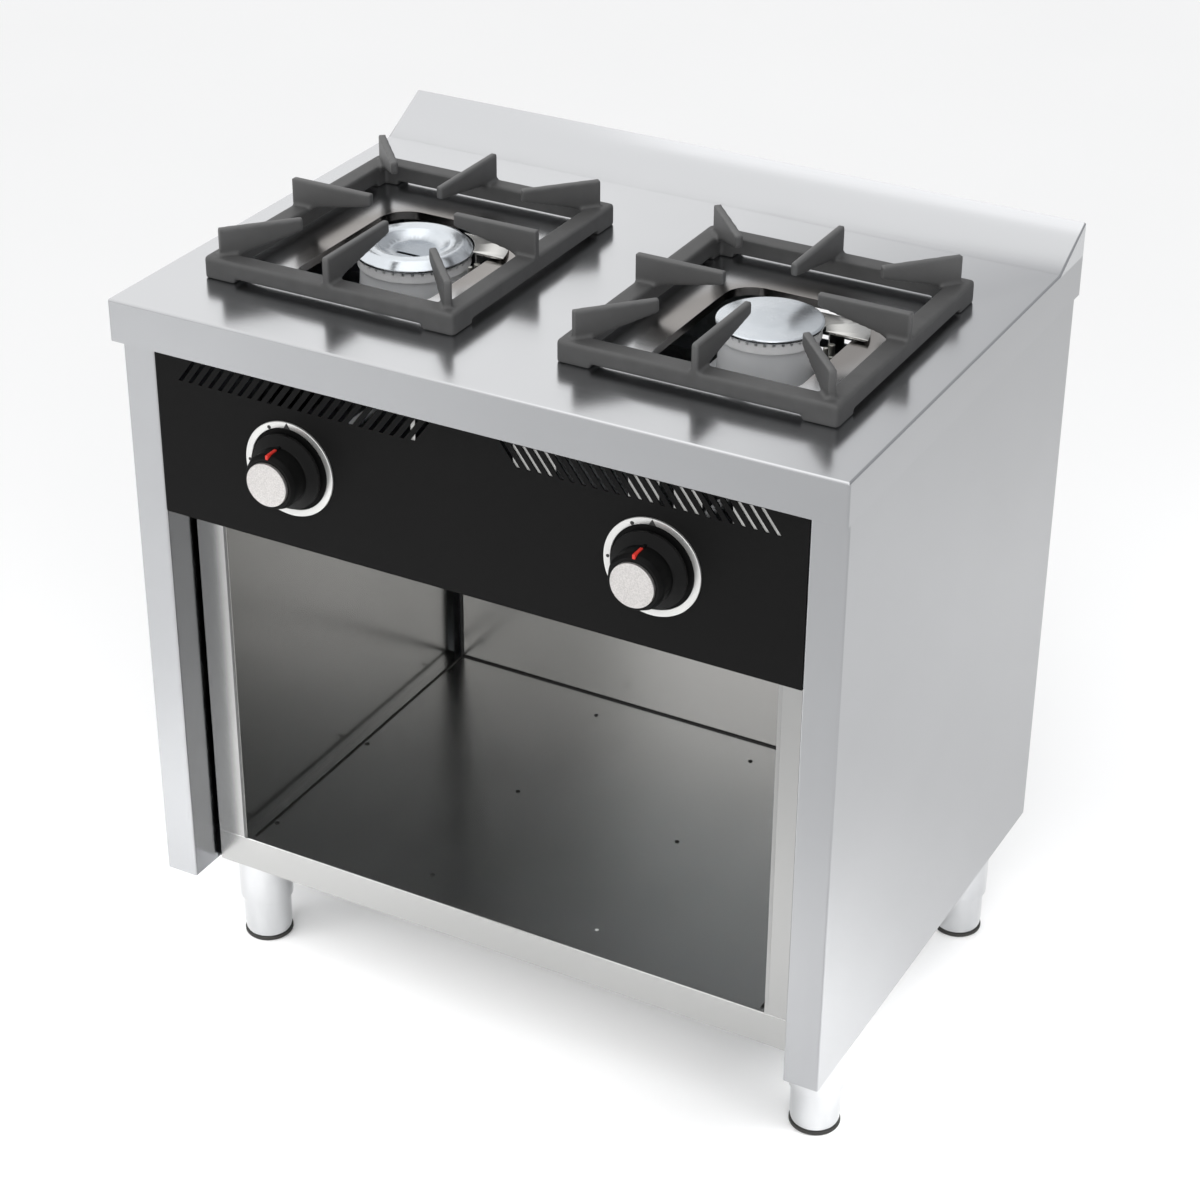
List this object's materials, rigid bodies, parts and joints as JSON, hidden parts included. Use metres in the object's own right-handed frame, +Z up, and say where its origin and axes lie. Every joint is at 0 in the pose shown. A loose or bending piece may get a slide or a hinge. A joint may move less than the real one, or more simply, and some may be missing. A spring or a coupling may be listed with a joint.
{
  "type": "gas range",
  "caption": "Free-standing gas range: worktop with open burners and cast pan supports, knobs on a slotted fascia, open cabinet below, on levelling feet.",
  "frame": {"origin": "on the floor, at the middle of the width, halfway between the knob fronts and the back of the worktop", "axes": "+X to the viewer's right when facing the knobs, +Y from the front to the back, +Z up"},
  "size_m": [0.8, 0.6076, 0.852],
  "materials": {
    "satin_steel": "fine satin grain",
    "bright_steel": "bright folded sheet",
    "galvanised_steel": "plain zinc-coated sheet",
    "black_panel": "satin black",
    "cast_iron": "matt enamelled casting",
    "cast_aluminium": "machined casting",
    "brass": "machined",
    "knob_plastic": "satin moulding",
    "knob_metal": "fine blasted face",
    "bezel_metal": "silvered ring",
    "polished_steel": "polished tube",
    "black_rubber": "moulded",
    "zinc_steel": "zinc-plated"
  },
  "bodies": {
    "root": {"worktop": "satin_steel", "left_side_panel": "satin_steel", "right_side_panel": "satin_steel", "shelf": "satin_steel", "left_inner_wall": "bright_steel", "right_inner_wall": "bright_steel", "cabinet_back": "bright_steel", "cabinet_ceiling": "galvanised_steel", "rear_panel": "galvanised_steel", "left_base_rail": "galvanised_steel", "right_base_rail": "galvanised_steel", "front_cross_rail": "galvanised_steel", "back_cross_rail": "galvanised_steel", "pipe_brackets": "galvanised_steel", "control_panel": "black_panel", "panel_screws": "zinc_steel", "burner_screws": "zinc_steel", "foot_nuts": "zinc_steel", "gas_pipe": "zinc_steel", "gas_inlet": "zinc_steel", "inlet_locknut": "zinc_steel", "foot_sleeves": "polished_steel", "left_bezel": "bezel_metal", "left_pilot_burner": "zinc_steel", "left_flame_probe": "zinc_steel", "left_tap_body": "brass", "left_injector": "brass", "left_burner_body": "cast_aluminium", "left_flame_ring": "cast_aluminium", "left_feed_tube": "cast_aluminium", "left_pilot_bracket": "bright_steel", "right_bezel": "bezel_metal", "right_pilot_burner": "zinc_steel", "right_flame_probe": "zinc_steel", "right_tap_body": "brass", "right_injector": "brass", "right_burner_body": "cast_aluminium", "right_flame_ring": "cast_aluminium", "right_feed_tube": "cast_aluminium", "right_pilot_bracket": "bright_steel"},
    "left_tap_plug": {"left_tap_plug": "brass"},
    "left_knob": {"left_knob": "knob_plastic", "left_knob_cap": "knob_metal", "left_tap_spindle": "zinc_steel"},
    "left_pan_support": {"left_pan_support": "cast_iron"},
    "left_burner_cap": {"left_burner_cap": "cast_aluminium"},
    "right_tap_plug": {"right_tap_plug": "brass"},
    "right_knob": {"right_knob": "knob_plastic", "right_knob_cap": "knob_metal", "right_tap_spindle": "zinc_steel"},
    "right_pan_support": {"right_pan_support": "cast_iron"},
    "right_burner_cap": {"right_burner_cap": "cast_aluminium"},
    "front_left_foot": {"front_left_foot_leg": "polished_steel", "front_left_foot_pad": "black_rubber"},
    "front_right_foot": {"front_right_foot_leg": "polished_steel", "front_right_foot_pad": "black_rubber"},
    "back_left_foot": {"back_left_foot_leg": "polished_steel", "back_left_foot_pad": "black_rubber"},
    "back_right_foot": {"back_right_foot_leg": "polished_steel", "back_right_foot_pad": "black_rubber"}
  },
  "joints": [
    {"name": "left_knob_turn", "type": "hinge", "parent": "root", "child": "left_tap_plug", "pos_m": [-0.2015, -0.26175, 0.657], "axis": [0, -1, 0], "range_deg": [0, 180]},
    {"name": "left_knob_push", "type": "slide", "parent": "left_tap_plug", "child": "left_knob", "axis": [0, 1, 0], "range_m": [0, 0.004], "stiffness_N_per_m": 900, "springref_m": -0.004},
    {"name": "left_pan_support_lift", "type": "slide", "parent": "root", "child": "left_pan_support", "axis": [0, 0, 1], "range_m": [0, 0.08]},
    {"name": "left_burner_cap_lift", "type": "slide", "parent": "root", "child": "left_burner_cap", "axis": [0, 0, 1], "range_m": [0, 0.018]},
    {"name": "right_knob_turn", "type": "hinge", "parent": "root", "child": "right_tap_plug", "pos_m": [0.2015, -0.26175, 0.657], "axis": [0, -1, 0], "range_deg": [0, 180]},
    {"name": "right_knob_push", "type": "slide", "parent": "right_tap_plug", "child": "right_knob", "axis": [0, 1, 0], "range_m": [0, 0.004], "stiffness_N_per_m": 900, "springref_m": -0.004},
    {"name": "right_pan_support_lift", "type": "slide", "parent": "root", "child": "right_pan_support", "axis": [0, 0, 1], "range_m": [0, 0.08]},
    {"name": "right_burner_cap_lift", "type": "slide", "parent": "root", "child": "right_burner_cap", "axis": [0, 0, 1], "range_m": [0, 0.018]},
    {"name": "front_left_foot_height", "type": "slide", "parent": "root", "child": "front_left_foot", "axis": [0, 0, -1], "range_m": [-0.01, 0.03]},
    {"name": "front_right_foot_height", "type": "slide", "parent": "root", "child": "front_right_foot", "axis": [0, 0, -1], "range_m": [-0.01, 0.03]},
    {"name": "back_left_foot_height", "type": "slide", "parent": "root", "child": "back_left_foot", "axis": [0, 0, -1], "range_m": [-0.01, 0.03]},
    {"name": "back_right_foot_height", "type": "slide", "parent": "root", "child": "back_right_foot", "axis": [0, 0, -1], "range_m": [-0.01, 0.03]}
  ]
}
